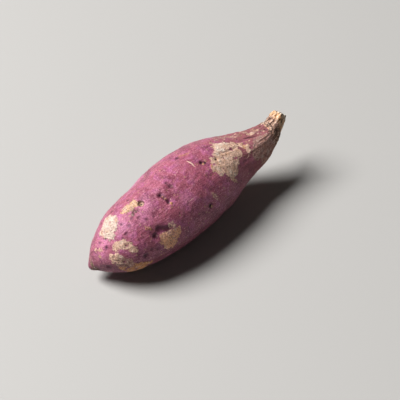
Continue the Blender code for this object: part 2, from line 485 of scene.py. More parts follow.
EYES = (
    # The ringed eye.
    Eye(0.229, 4.0, 0.75, 0.0, 2.5, 1.3, floor_mm=1.35, wall_mm=2.3),
    # The two that share a crease beyond it.
    Eye(0.305, 13.2, 0.7, 1.4, 2.4, 0.6),
    Eye(0.311, 20.0, 0.4, 0.0, 1.0, 0.4),
    Eye(0.316, 29.8, 0.6, 1.2, 2.0, 0.8),
    # The hollows by the brown patch, darkened partly by stain and partly by painted shade.
    Eye(0.230, 54.5, 0.0, 2.4, 3.2, 0.6),
    Eye(0.246, 57.5, 0.0, 2.0, 2.6, 0.4),
    Eye(0.261, 61.5, 0.0, 2.6, 3.2, 0.7),
    Eye(0.208, 60.5, 0.0, 2.2, 2.6, 0.9),
    # Small dark holes over the middle and the shoulder.
    Eye(0.476, -18.4, 0.6, 1.4, 1.6, 0.5),
    Eye(0.530, 12.7, 0.8, 1.6, 1.8, 0.6),
    Eye(0.542, 16.1, 0.8, 1.2, 1.4, 0.5),
    Eye(0.551, 22.5, 0.5, 0.0, 1.0, 0.4),
    Eye(0.354, 6.0, 0.45, 0.9, 0.9, 0.3),
    Eye(0.358, 14.0, 0.0, 1.6, 2.0, 0.3),
    Eye(0.472, 74.5, 0.9, 1.8, 2.0, 0.8),
    Eye(0.593, 19.5, 0.9, 1.5, 1.8, 0.7),
    Eye(0.590, 30.0, 0.5, 0.0, 1.0, 0.4),
    Eye(0.728, 12.0, 0.5, 0.0, 1.0, 0.4),
    Eye(0.097, 46.0, 0.35, 0.0, 1.2, 0.4),
    Eye(0.062, 2.0, 0.55, 0.8, 1.2, 0.5),
    Eye(0.102, -6.0, 0.25, 0.0, 0.6, 0.3),
    Eye(0.098, -14.0, 0.25, 0.0, 0.6, 0.3),
    Eye(0.083, 8.0, 0.3, 0.0, 0.6, 0.3),
    Eye(0.077, -21.0, 0.3, 0.0, 0.6, 0.3),
    # Breathing pores of the root end.
    Eye(0.125, 8.5, 0.35, 0.9, 1.2, 0.3),
    Eye(0.141, 21.0, 0.0, 0.8, 1.2, 0.25),
    Eye(0.164, 14.0, 0.25, 0.8, 1.0, 0.25),
    Eye(0.186, 20.0, 0.0, 0.8, 1.0, 0.25),
    Eye(0.201, 10.0, 0.0, 0.7, 1.0, 0.25),
    Eye(0.117, 28.0, 0.0, 0.9, 1.2, 0.3),
    Eye(0.101, 31.5, 0.3, 0.8, 1.0, 0.25),
    Eye(0.048, 22.0, 0.4, 1.1, 1.4, 0.4),
    Eye(0.044, -7.0, 0.0, 0.8, 1.0, 0.25),
    Eye(0.145, -31.0, 0.3, 0.9, 1.0, 0.3),
    Eye(0.211, -19.5, 0.0, 0.9, 1.0, 0.25),
    Eye(0.149, 84.0, 0.5, 1.8, 2.2, 0.7),
    Eye(0.176, 78.0, 0.0, 1.0, 1.2, 0.3),
    Eye(0.034, 92.0, 0.0, 1.8, 2.0, 0.4),
    Eye(0.206, 30.0, 0.0, 1.0, 1.4, 0.3),
    # The far side and the underside.
    Eye(0.160, 125.0, 0.6, 1.8, 2.2, 0.8),
    Eye(0.390, 140.0, 0.8, 2.0, 2.4, 0.9),
    Eye(0.670, 130.0, 0.5, 0.0, 2.4, 1.1, floor_mm=1.2, wall_mm=2.1),
    Eye(0.230, 225.0, 0.5, 0.0, 2.6, 1.3, floor_mm=1.3, wall_mm=2.3),
    Eye(0.450, 245.0, 0.9, 2.4, 2.8, 1.1),
    Eye(0.600, 270.0, 0.6, 1.6, 2.2, 0.8),
    Eye(0.320, 275.0, 0.5, 0.0, 2.4, 1.2, floor_mm=1.2, wall_mm=2.2),
    Eye(0.720, 235.0, 0.7, 1.6, 2.0, 0.8),
    Eye(0.345, 284.0, 0.4, 1.0, 1.2, 0.4),
    Eye(0.520, 205.0, 0.5, 1.2, 1.4, 0.4),
    Eye(0.530, 212.0, 0.6, 1.4, 1.8, 0.6),
    Eye(0.280, 198.0, 0.0, 1.2, 1.4, 0.3),
    Eye(0.560, 300.0, 0.4, 0.9, 1.2, 0.3),
    Eye(0.500, 160.0, 0.5, 1.2, 1.4, 0.4),
)

CREASES = (
    # Between the two eyes of the pair.
    Stroke(((0.304, 12.0), (0.310, 20.0), (0.315, 26.0), (0.318, 32.0)), 0.9, 0.6),
    # Behind the root tip.
    Stroke(((0.017, -60.0), (0.020, -20.0), (0.021, 20.0), (0.021, 60.0)), 0.15, 0.4),
    # Where the neck begins on the far side.
    Stroke(((0.700, 250.0), (0.715, 262.0), (0.720, 275.0)), 0.8, 0.4),
)

CRACKS = (
    # Along the fold of the large patch.
    Stroke(
        ((0.599, 12.5), (0.620, 16.0), (0.634, 16.0), (0.657, 18.0), (0.680, 18.5), (0.714, 17.0)),
        0.32,
        0.5,
    ),
    Stroke(((0.610, 21.0), (0.622, 24.0), (0.628, 22.0)), 0.25, 0.3),
    # Under the flake of bark.
    Stroke(((0.768, 1.0), (0.782, 4.0), (0.796, 4.5), (0.810, 8.5), (0.824, 10.0)), 0.4, 0.5),
    Stroke(((0.790, -3.0), (0.796, -12.0), (0.812, -10.5)), 0.25, 0.3),
    # The neck's bark, which splits as it dries.
    Stroke(((0.868, 2.0), (0.876, 10.0), (0.884, 18.0)), 0.5, 0.6),
    Stroke(((0.876, 22.0), (0.884, 30.0), (0.880, 44.0)), 0.45, 0.6),
    Stroke(((0.900, -14.0), (0.905, 4.0), (0.900, 20.0)), 0.4, 0.5),
    Stroke(((0.870, 52.0), (0.900, 58.0), (0.925, 52.0)), 0.45, 0.5),
    Stroke(((0.905, 84.0), (0.925, 92.0), (0.950, 86.0)), 0.45, 0.6),
    Stroke(((0.880, 120.0), (0.915, 128.0), (0.940, 120.0)), 0.4, 0.5),
    Stroke(((0.850, 260.0), (0.890, 254.0), (0.925, 262.0)), 0.4, 0.5),
    Stroke(((0.880, 330.0), (0.900, 324.0), (0.930, 328.0)), 0.35, 0.4),
    Stroke(((0.940, 30.0), (0.955, 38.0), (0.975, 34.0)), 0.4, 0.6),
    Stroke(((0.945, 64.0), (0.965, 70.0), (0.990, 66.0)), 0.5, 0.7),
    # Flakes of the patch under the root end.
    Stroke(((0.046, 62.0), (0.054, 70.0), (0.062, 69.0), (0.066, 80.0), (0.080, 80.0)), 0.3, 0.4),
    Stroke(((0.054, 84.0), (0.068, 88.0), (0.082, 92.0), (0.090, 104.0)), 0.3, 0.4),
    Stroke(((0.084, 76.0), (0.092, 88.0), (0.104, 92.0)), 0.25, 0.3),
    Stroke(((0.640, 196.0), (0.665, 206.0), (0.700, 210.0)), 0.4, 0.4),
)

SCARS = (
    # A short curved scar, and the fine scratches below it.
    Stroke(((0.484, -1.5), (0.489, 2.0), (0.493, 6.0), (0.494, 13.0)), 0.55, -0.15),
    Stroke(((0.364, 47.5), (0.422, 48.5), (0.484, 47.5)), 0.16, 0.0),
    Stroke(((0.400, 53.5), (0.430, 54.0), (0.450, 53.5)), 0.14, 0.0),
    Stroke(((0.722, 49.6), (0.736, 47.0), (0.748, 38.0)), 0.22, 0.0),
    Stroke(((0.330, 205.0), (0.380, 210.0), (0.430, 212.0)), 0.2, 0.0),
    Stroke(((0.560, 250.0), (0.600, 246.0), (0.650, 248.0)), 0.2, 0.0),
)

# Share, clock and radius in millimetres of the places where the skin is paler pink: the first six,
# on the lit upper side, are a painted highlight; the last three are thin skin that blushes paler.
BLUSHES_AND_HIGHLIGHTS = (
    (0.027, 34.0, 4.5), (0.045, 4.0, 5.0), (0.130, 19.0, 4.5), (0.202, 26.0, 5.0),
    (0.235, 11.0, 5.0), (0.380, 42.0, 5.0), (0.300, 300.0, 7.0), (0.400, 215.0, 7.0),
    (0.550, 260.0, 8.0),
)


@dataclass
class SkinMap:
    """Finds places on a closed skin by share of its length and clock angle.

    Attributes:
        form: The skin as a bmesh.
        slices: How many cross-sections the mid-line is read from.
    """

    form: bmesh.types.BMesh
    slices: int = 60

    def __post_init__(self) -> None:
        """Reads the mid-line from the skin's cross-sections."""
        places = np.array([vert.co for vert in self.form.verts])
        self.low = places[:, 0].min()
        self.length = places[:, 0].max() - self.low
        self.tree = BVHTree.FromBMesh(self.form)
        shares = (places[:, 0] - self.low) / self.length
        self.keys = (np.arange(self.slices) + 0.5) / self.slices
        middles = []
        for i in range(self.slices):
            near = (shares >= i / self.slices) & (shares <= (i + 1) / self.slices)
            middles.append((places[near].min(axis=0) + places[near].max(axis=0)) / 2)
        self.middles = np.array(middles)

    def shares_and_clocks(self, places: np.ndarray) -> tuple[np.ndarray, np.ndarray]:
        """Measures points of the skin.

        Args:
            places: One point a row, in metres.

        Returns:
            Each point's share of the length, and its clock angle in degrees.
        """
        shares = (places[:, 0] - self.low) / self.length
        off = places[:, 1:] - self.middles_at(shares)
        return shares, np.degrees(np.arctan2(-off[:, 0], off[:, 1]))

    def middles_at(self, shares: np.ndarray) -> np.ndarray:
        """Finds the mid-line at shares of the length.

        Args:
            shares: Shares of the length.

        Returns:
            The mid-line's Y and Z at each, in metres.
        """
        return np.stack([np.interp(shares, self.keys, self.middles[:, i]) for i in (1, 2)], axis=1)

    def place(self, share: float, clock: float) -> Vector:
        """Finds the skin's point at a share of the length and a clock angle.

        Args:
            share: Share of the length.
            clock: Clock angle in degrees.

        Returns:
            The point, in metres.
        """
        middle = Vector((self.low + share * self.length, *self.middles_at(np.array([share]))[0]))
        angle = math.radians(clock)
        outward = Vector((0.0, -math.sin(angle), math.cos(angle)))
        hit = self.tree.ray_cast(middle, outward)[0]
        return hit if hit is not None else middle


@dataclass(frozen=True)
class Freckle:
    """One kind of small round mark that is scattered over the purple.

    Attributes:
        hue: Its colour.
        cell_mm: How far apart the marks are.
        reach: Radius of the largest, as a share of that distance.
        share: Share of the cells that hold one.
        strength: How much of the purple it hides.
    """

    hue: str
    cell_mm: float
    reach: float
    share: float
    strength: float


@dataclass(frozen=True)
class Layer:
    """A colour that shows where a pattern or a mark of the mesh has certain values.

    Attributes:
        source: The pattern or mark.
        start: The value where the colour begins to show.
        end: The value where it shows most.
        most: How much of what lies under it is hidden there.
        hue: The colour.
    """

    source: Socket
    start: float
    end: float
    most: float | Socket
    hue: str


@dataclass(frozen=True)
class Surface:
    """How the skin looks at each place, while one kind of surface is laid over another.

    Attributes:
        colour: Its colour.
        height: Its relief, in millimetres.
        dull: How far it is without sheen, from 0 to 1.
    """

    colour: Socket
    height: Socket
    dull: Socket


@dataclass(frozen=True)
class PotatoSkin:
    """Raw sweet potato skin, dug and brushed: thin, dry, purple cork with a faint satin sheen.

    It is dull because its surface is fine dry cork, and it is streaked along the root's fibres.
    Where it has been rubbed or has scabbed over, pale scurf shows, which is rougher and without
    sheen.

    Attributes:
        name: The material's name.
        violet_purple: The purple where it leans to blue.
        rose_purple: The purple's main colour.
        deep_purple: The purple in dark clouds and between fibres.
        fibre_pale: The fibres.
        blush_and_highlight_pink: The paler pink of the painted highlight on the upper side, and of
            thin skin elsewhere.
        painted_shade_wine: Painted shade over the skin that faces down.
        neck_brown: What the purple turns to on the neck.
        stain_and_shade_wine: Stain and painted shade in the hollows of the eyes and along the
            creases.
        wall_brown: The cup of a ringed eye.
        floor_pale: The worn floor of that cup.
        hole_dark: Holes and cracks.
        scar_cream: Healed scratches.
        grain_dark: Dark grains in the scurf.
        rust: Rusty blotches in the scurf.
        flake_pale: Pale flakes on the scurf.
        rim_pale: The stub's broken rim.
        bark_stops: Colours of the stub's bark, from its furrows to its ridges.
        wood_stops: Colours of the bare wood, in the same order.
        freckles: The small marks over the purple.
        smallest_freckle: Radius of the smallest, as a share of the largest.
        freckle_tear: How far a freckle's edge is torn, as a share of its cell.
        freckle_edge: Where a freckle begins and where it is whole, as a share of its cell.
        tear_mm: Swing of the pattern that tears the edge of a large scurf patch.
        edge_mm: Half the width of such a patch's soft edge.
        cover_step: A patch's cover plus its flakes, where scurf begins and where it is whole.
        flake_shade: Brightness of the scurf's darkest and palest flakes, as a share of its tint.
        crust_mm: How far the scurf's flakes are raised.
        bark_step: The bark's mark plus its strands, where bark begins and where it is whole.
        furrow_mm: Depth of the fine furrows in the bark and the wood.
        sway_mm: How far the gaps between the blocks of bark bend.
        neck_dullness: How far the neck has lost its sheen.
        roughness: The purple's roughness.
        scurf_roughness: The roughness of scurf, bark and wood.
        ior: The skin's index of refraction.
        sheen_level: Strength of the sheen.
        sheen_hue: Its colour.
    """

    name: str = "sweet_potato_skin"
    violet_purple: str = "#ac5d85"
    rose_purple: str = "#a15466"
    deep_purple: str = "#662b3b"
    fibre_pale: str = "#cf8c9e"
    blush_and_highlight_pink: str = "#d788ac"
    painted_shade_wine: str = "#4a1a22"
    neck_brown: str = "#84524d"
    stain_and_shade_wine: str = "#4a1d2b"
    wall_brown: str = "#59402f"
    floor_pale: str = "#c9a888"
    hole_dark: str = "#170c09"
    scar_cream: str = "#ecc9b4"
    grain_dark: str = "#54392c"
    rust: str = "#b67f52"
    flake_pale: str = "#f0dfcf"
    rim_pale: str = "#f8e8d4"
    bark_stops: tuple[tuple[float, str], ...] = (
        (0.32, "#503a30"), (0.40, "#a27c69"), (0.49, "#c29b84"), (0.62, "#dcc0aa"),
    )
    wood_stops: tuple[tuple[float, str], ...] = (
        (0.34, "#8a5a3c"), (0.42, "#d6a070"), (0.52, "#efc396"), (0.64, "#fbeee0"),
    )
    freckles: tuple[Freckle, ...] = (
        Freckle("#a98a62", 2.0, 0.32, 0.42, 0.75),
        Freckle("#3f2226", 2.1, 0.28, 0.45, 0.75),
        Freckle("#e2b3ae", 2.3, 0.22, 0.40, 0.60),
    )
    smallest_freckle: float = 0.3
    freckle_tear: float = 0.35
    freckle_edge: tuple[float, float] = (-0.18, -0.11)
    tear_mm: float = 8.0
    edge_mm: float = 0.4
    cover_step: tuple[float, float] = (1.22, 1.40)
    flake_shade: tuple[float, float] = (0.72, 1.2)
    crust_mm: float = 0.1
    bark_step: tuple[float, float] = (0.94, 1.04)
    furrow_mm: float = 1.6
    sway_mm: float = 1.2
    neck_dullness: float = 0.6
    roughness: float = 0.45
    scurf_roughness: float = 0.95
    ior: float = 1.5
    sheen_level: float = 0.55
    sheen_hue: str = "#f0d0ee"

    def build(self) -> bpy.types.Material:
        """Builds the material.

        Returns:
            The skin's material.
        """
        material = bpy.data.materials.new(self.name)
        material.use_nodes = True
        tree = material.node_tree
        tree.nodes.clear()
        surface = self._bark(tree, self._scurf(tree, self._purple(tree)))
        roughness = add_node(
            tree,
            "ShaderNodeMapRange",
            {"Value": surface.dull, "To Min": self.roughness, "To Max": self.scurf_roughness},
        )
        bump = add_node(tree, "ShaderNodeBump", {"Height": surface.height, "Distance": MM})
        shader = add_node(
            tree,
            "ShaderNodeBsdfPrincipled",
            {
                "Base Color": self._holes(tree, surface.colour),
                "Roughness": roughness.outputs["Result"],
                "Normal": bump.outputs["Normal"],
                "IOR": self.ior,
                "Specular IOR Level": self.sheen_level,
                "Specular Tint": linear(self.sheen_hue),
            },
        )
        add_node(tree, "ShaderNodeOutputMaterial", {"Surface": shader.outputs["BSDF"]})
        return material

    def _pattern(
        self, tree: Tree, place: Socket, size_mm: tuple[float, float, float], detail: float
    ) -> Socket:
        """Adds a cloudy pattern with patches of a real size.

        Args:
            tree: The material's node tree.
            place: The position, in metres, that the pattern follows.
            size_mm: Size of the largest patches along each axis.
            detail: How many times finer ones are added.

        Returns:
            The pattern, from 0 to 1 and mostly near a half.
        """
        scale = tuple(1 / (size * MM) for size in size_mm)
        scaled = add_node(tree, "ShaderNodeMapping", {"Vector": place, "Scale": scale})
        return add_node(
            tree,
            "ShaderNodeTexNoise",
            {"Vector": scaled.outputs["Vector"], "Scale": 1.0, "Detail": detail, "Roughness": 0.65},
        ).outputs["Fac"]

    def _mark(self, tree: Tree, name: str) -> Socket:
        """Reads one of the mesh's marks as a number."""
        return add_node(tree, "ShaderNodeAttribute", attribute_name=name).outputs["Fac"]

    def _grain(self, tree: Tree) -> Socket:
        """Reads the position along and round the root, in metres."""
        return add_node(tree, "ShaderNodeAttribute", attribute_name="grain").outputs["Vector"]

    def _object(self, tree: Tree) -> Socket:
        """Reads the position in the tuber's own space, in metres."""
        return add_node(tree, "ShaderNodeTexCoord").outputs["Object"]

    def _lay(
        self,
        tree: Tree,
        colour: Socket | Colour,
        layers: Iterable[Layer],
        growth: str = "LINEAR",
    ) -> Socket:
        """Lays colours over one another.

        Args:
            tree: The material's node tree.
            colour: What they are laid on.
            layers: The colours, and where each shows.
            growth: How each grows between its two values, as the node names it.

        Returns:
            The colour with its layers.
        """
        for layer in layers:
            amount = add_node(
                tree,
                "ShaderNodeMapRange",
                {
                    "Value": layer.source,
                    "From Min": layer.start,
                    "From Max": layer.end,
                    "To Max": layer.most,
                },
                interpolation_type=growth,
            ).outputs["Result"]
            colour = add_node(
                tree,
                "ShaderNodeMix",
                {FACTOR: amount, COLOUR_A: colour, COLOUR_B: linear(layer.hue)},
                data_type="RGBA",
            ).outputs[COLOUR_OUT]
        return colour

    def _cover(
        self, tree: Tree, under: Surface, mask: Socket, colour: Socket, height: Socket
    ) -> Surface:
        """Covers a surface with one that has no sheen.

        Args:
            tree: The material's node tree.
            under: The surface that is covered.
            mask: Where it is, from 0 to 1.
            colour: The cover's colour.
            height: The cover's relief, in millimetres.

        Returns:
            The surface with its cover.
        """
        colours = add_node(
            tree,
            "ShaderNodeMix",
            {FACTOR: mask, COLOUR_A: under.colour, COLOUR_B: colour},
            data_type="RGBA",
        )
        heights = add_node(
            tree,
            "ShaderNodeMix",
            {FACTOR: mask, FLOAT_A: under.height, FLOAT_B: height},
            data_type="FLOAT",
        )
        dull = add_node(tree, "ShaderNodeMath", {0: mask, 1: under.dull}, operation="MAXIMUM")
        return Surface(
            colours.outputs[COLOUR_OUT], heights.outputs[FLOAT_OUT], dull.outputs["Value"]
        )

    def _purple(self, tree: Tree) -> Surface:
        """Lays down the mottled, fibrous purple, with its freckles, its stains, and the painted
        shade and painted highlight laid over it.

        Args:
            tree: The material's node tree.

        Returns:
            The surface without scurf or bark.
        """
        place, neck = self._object(tree), self._mark(tree, "neck")
        clouds = self._pattern(tree, place, (9.0, 9.0, 9.0), 4.0)
        violet = self._pattern(tree, place, (6.0, 6.0, 6.0), 2.0)
        # Fibres are finer than a tenth of a millimetre; bundles of them are drawn.
        fibre = self._pattern(tree, self._grain(tree), (6.0, 0.9, 0.9), 3.0)
        pebble = self._pattern(tree, place, (2.0, 2.0, 2.0), 3.0)
        granule = self._pattern(tree, place, (0.8, 0.8, 0.8), 2.0)
        colour = self._lay(
            tree,
            linear(self.rose_purple),
            (
                Layer(violet, 0.48, 0.62, 0.85, self.violet_purple),
                Layer(clouds, 0.53, 0.36, 0.80, self.deep_purple),
                # Paler pink: a painted highlight on the upper side, and thin skin elsewhere.
                Layer(self._mark(tree, "blush_and_highlight"), 0.0, 1.0, 0.55, self.blush_and_highlight_pink),
                # Painted shade: skin that faces down is darkened towards wine.
                Layer(self._mark(tree, "painted_underside_shade"), 0.0, 1.0, 0.72, self.painted_shade_wine),
                Layer(fibre, 0.53, 0.70, 0.55, self.fibre_pale),
                Layer(fibre, 0.46, 0.32, 0.50, self.deep_purple),
                Layer(granule, 0.48, 0.34, 0.70, self.deep_purple),
                Layer(granule, 0.55, 0.68, 0.60, self.fibre_pale),
                Layer(fibre, 0.25, 0.55, neck, self.neck_brown),
            ),
        )
        colour = self._freckled(tree, colour)
        # Darker round the eyes and along the creases: partly stain, partly painted shade of their
        # hollows.
        stain_and_shade = Layer(self._mark(tree, "stain_and_shade"), -1.2, 0.9, 0.85, self.stain_and_shade_wine)
        colour = self._lay(tree, colour, (stain_and_shade,), "SMOOTHSTEP")
        height: float | Socket = 0.0
        for pattern, height_mm in ((pebble, 0.48), (fibre, 0.22), (granule, 0.16)):
            height = add_node(
                tree,
                "ShaderNodeMath",
                {0: pattern, 1: height_mm, 2: height},
                operation="MULTIPLY_ADD",
            ).outputs["Value"]
        dull = add_node(
            tree, "ShaderNodeMath", {0: neck, 1: self.neck_dullness}, operation="MULTIPLY"
        )
        return Surface(colour, height, dull.outputs["Value"])

    def _freckled(self, tree: Tree, colour: Socket) -> Socket:
        """Scatters small marks over the purple.

        Args:
            tree: The material's node tree.
            colour: The colour so far.

        Returns:
            The colour with its freckles.
        """
        place = self._object(tree)
        ragged = self._pattern(tree, place, (0.7, 0.7, 0.7), 2.0)
        for freckle in self.freckles:
            cells = add_node(
                tree, "ShaderNodeTexVoronoi", {"Vector": place, "Scale": 1 / (freckle.cell_mm * MM)}
            )
            # Each cell's own random number says whether it holds a freckle, and how large.
            chance = add_node(
                tree, "ShaderNodeSeparateColor", {"Color": cells.outputs["Color"]}
            ).outputs["Red"]
            least = 1.0 - freckle.share
            present = add_node(
                tree, "ShaderNodeMath", {0: chance, 1: least}, operation="GREATER_THAN"
            )
            most = add_node(
                tree,
                "ShaderNodeMath",
                {0: present.outputs["Value"], 1: freckle.strength},
                operation="MULTIPLY",
            )
            reach = add_node(
                tree,
                "ShaderNodeMapRange",
                {
                    "Value": chance,
                    "From Min": least,
                    "To Min": self.smallest_freckle * freckle.reach,
                    "To Max": freckle.reach,
                },
            )
            away = add_node(
                tree,
                "ShaderNodeMath",
                {0: ragged, 1: self.freckle_tear, 2: cells.outputs["Distance"]},
                operation="MULTIPLY_ADD",
            )
            inside = add_node(
                tree,
                "ShaderNodeMath",
                {0: reach.outputs["Result"], 1: away.outputs["Value"]},
                operation="SUBTRACT",
            )
            # The ragged pattern is mostly near a half, so the edge lies half a tear below zero.
            spot = Layer(
                inside.outputs["Value"], *self.freckle_edge, most.outputs["Value"], freckle.hue
            )
            colour = self._lay(tree, colour, (spot,))
        return colour

    def _scurf(self, tree: Tree, under: Surface) -> Surface:
        """Lays the scurf patches over the purple, with ragged edges.

        Args:
            tree: The material's node tree.
            under: The purple.

        Returns:
            The surface with its scurf.
        """
        place = self._object(tree)
        tint = add_node(tree, "ShaderNodeAttribute", attribute_name="scurf_tint")
        streaks = self._pattern(tree, self._grain(tree), (5.0, 1.1, 1.1), 4.0)
        torn = self._pattern(tree, place, (2.2, 2.2, 2.2), 5.0)
        flaky = self._pattern(tree, place, (1.2, 1.2, 1.2), 4.0)
        streaked = add_node(
            tree,
            "ShaderNodeMix",
            {FACTOR: self._mark(tree, "neck"), FLOAT_A: flaky, FLOAT_B: streaks},
            data_type="FLOAT",
        )
        centred = add_node(tree, "ShaderNodeMath", {0: torn, 1: 0.5}, operation="SUBTRACT")
        swing = add_node(
            tree,
            "ShaderNodeMath",
            {0: self._mark(tree, "ragged"), 1: self.tear_mm},
            operation="MULTIPLY",
        )
        edge = add_node(
            tree,
            "ShaderNodeMath",
            {
                0: centred.outputs["Value"],
                1: swing.outputs["Value"],
                2: self._mark(tree, "scurf"),
            },
            operation="MULTIPLY_ADD",
        )
        inside = add_node(
            tree,
            "ShaderNodeMapRange",
            {
                "Value": edge.outputs["Value"],
                "From Min": -self.edge_mm,
                "From Max": self.edge_mm,
            },
            interpolation_type="SMOOTHSTEP",
        )
        # The tint's alpha is the patch's cover: the thinner it is, the more purple shows through.
        thin = add_node(
            tree,
            "ShaderNodeMath",
            {0: tint.outputs["Alpha"], 1: streaked.outputs[FLOAT_OUT]},
            operation="ADD",
        )
        mask = add_node(
            tree,
            "ShaderNodeMapRange",
            {
                "Value": thin.outputs["Value"],
                "From Min": self.cover_step[0],
                "From Max": self.cover_step[1],
                "To Max": inside.outputs["Result"],
            },
        )
        crust = add_node(tree, "ShaderNodeMath", {0: flaky, 1: self.crust_mm}, operation="ADD")
        cork = self._cork(tree, tint.outputs["Color"], flaky)
        return self._cover(tree, under, mask.outputs["Result"], cork, crust.outputs["Value"])

    def _cork(self, tree: Tree, tint: Socket, flaky: Socket) -> Socket:
        """Gives the scurf its grains, rust and pale flakes.

        Args:
            tree: The material's node tree.
            tint: The scurf's tint.
            flaky: The pattern of its flakes.

        Returns:
            The scurf's colour.
        """
        place = self._object(tree)
        blotch = self._pattern(tree, place, (3.6, 3.6, 3.6), 3.0)
        sand = self._pattern(tree, place, (0.9, 0.9, 0.9), 2.0)
        shade = add_node(
            tree,
            "ShaderNodeMapRange",
            {
                "Value": flaky,
                "From Min": 0.3,
                "From Max": 0.7,
                "To Min": self.flake_shade[0],
                "To Max": self.flake_shade[1],
            },
        )
        shaded = add_node(
            tree,
            "ShaderNodeVectorMath",
            {0: tint, "Scale": shade.outputs["Result"]},
            operation="SCALE",
        )
        return self._lay(
            tree,
            shaded.outputs["Vector"],
            (
                Layer(blotch, 0.54, 0.68, 0.55, self.rust),
                Layer(blotch, 0.44, 0.30, 0.45, self.flake_pale),
                Layer(sand, 0.44, 0.34, 0.80, self.grain_dark),
                Layer(sand, 0.58, 0.70, 0.60, self.flake_pale),
            ),
        )

    def _bark(self, tree: Tree, under: Surface) -> Surface:
        """Turns the neck's end to bark, the stub to bare wood and its broken rim to pale fibre.

        Args:
            tree: The material's node tree.
            under: The surface with its scurf.

        Returns:
            The surface of the whole tuber.
        """
        strands = self._pattern(tree, self._grain(tree), (3.2, 4.5, 4.5), 5.0)
        ramps = []
        for stops in (self.bark_stops, self.wood_stops):
            ramp = add_node(tree, "ShaderNodeValToRGB", {"Fac": strands})
            elements = ramp.color_ramp.elements
            elements.remove(elements[-1])
            elements[0].position, elements[0].color = stops[0][0], linear(stops[0][1])
            for position, hue in stops[1:]:
                elements.new(position).color = linear(hue)
            ramps.append(ramp.outputs["Color"])
        gap = Layer(self._to_gap(tree), 0.14, 0.03, 0.85, self.bark_stops[0][1])
        cracked = self._lay(tree, ramps[0], (gap,))
        bark = add_node(
            tree,
            "ShaderNodeMix",
            {FACTOR: self._mark(tree, "wood"), COLOUR_A: cracked, COLOUR_B: ramps[1]},
            data_type="RGBA",
        )
        rim = Layer(self._mark(tree, "rim"), 0.0, 1.0, 1.0, self.rim_pale)
        colour = self._lay(tree, bark.outputs[COLOUR_OUT], (rim,))
        frayed = add_node(
            tree, "ShaderNodeMath", {0: strands, 1: self._mark(tree, "bark")}, operation="ADD"
        )
        mask = add_node(
            tree,
            "ShaderNodeMapRange",
            {
                "Value": frayed.outputs["Value"],
                "From Min": self.bark_step[0],
                "From Max": self.bark_step[1],
            },
        )
        furrows = add_node(
            tree, "ShaderNodeMath", {0: strands, 1: self.furrow_mm}, operation="MULTIPLY"
        )
        return self._cover(
            tree, under, mask.outputs["Result"], colour, furrows.outputs["Value"]
        )

    def _to_gap(self, tree: Tree) -> Socket:
        """Measures how far a place is from a gap between the blocks of cracked bark.

        Args:
            tree: The material's node tree.

        Returns:
            The distance, as a share of a block.
        """
        scale = (1 / (3.6 * MM), 1 / (2.0 * MM), 1 / (2.0 * MM))
        bent = self._pattern(tree, self._object(tree), (1.6, 1.6, 1.6), 2.0)
        swayed = add_node(
            tree,
            "ShaderNodeVectorMath",
            {0: (self.sway_mm * MM,) * 3, "Scale": bent},
            operation="SCALE",
        )
        place = add_node(
            tree,
            "ShaderNodeVectorMath",
            {0: self._object(tree), 1: swayed.outputs["Vector"]},
            operation="ADD",
        )
        scaled = add_node(
            tree, "ShaderNodeMapping", {"Vector": place.outputs["Vector"], "Scale": scale}
        )
        return add_node(
            tree,
            "ShaderNodeTexVoronoi",
            {"Vector": scaled.outputs["Vector"], "Scale": 1.0},
            feature="DISTANCE_TO_EDGE",
        ).outputs["Distance"]

    def _holes(self, tree: Tree, colour: Socket) -> Socket:
        """Draws the eyes' cups, floors and holes, the cracks and the pale scars.

        Args:
            tree: The material's node tree.
            colour: The colour so far.

        Returns:
            The finished colour.
        """
        layers = (
            Layer(self._mark(tree, name), -soft_mm, soft_mm, most, hue)
            for name, soft_mm, most, hue in (
                ("wall", 0.35, 0.8, self.wall_brown),
                ("floor", 0.35, 0.9, self.floor_pale),
                ("scar", 0.25, 0.85, self.scar_cream),
                ("crack", 0.3, 0.8, self.hole_dark),
                ("hole", 0.3, 0.95, self.hole_dark),
            )
        )
        return self._lay(tree, colour, layers, "SMOOTHSTEP")


@dataclass(frozen=True)
class PaleFloor:
    """Matt white laminate: smooth, with no pattern.

    Attributes:
        name: The material's name.
        white: Its colour.
        roughness: Its roughness.
    """

    name: str = "pale_floor"
    white: str = "#a9a7a4"
    roughness: float = 0.7

    def build(self) -> bpy.types.Material:
        """Builds the floor's material.

        Returns:
            The material.
        """
        material = bpy.data.materials.new(self.name)
        material.use_nodes = True
        shader = material.node_tree.nodes["Principled BSDF"]
        shader.inputs["Base Color"].default_value = linear(self.white)
        shader.inputs["Roughness"].default_value = self.roughness
        return material


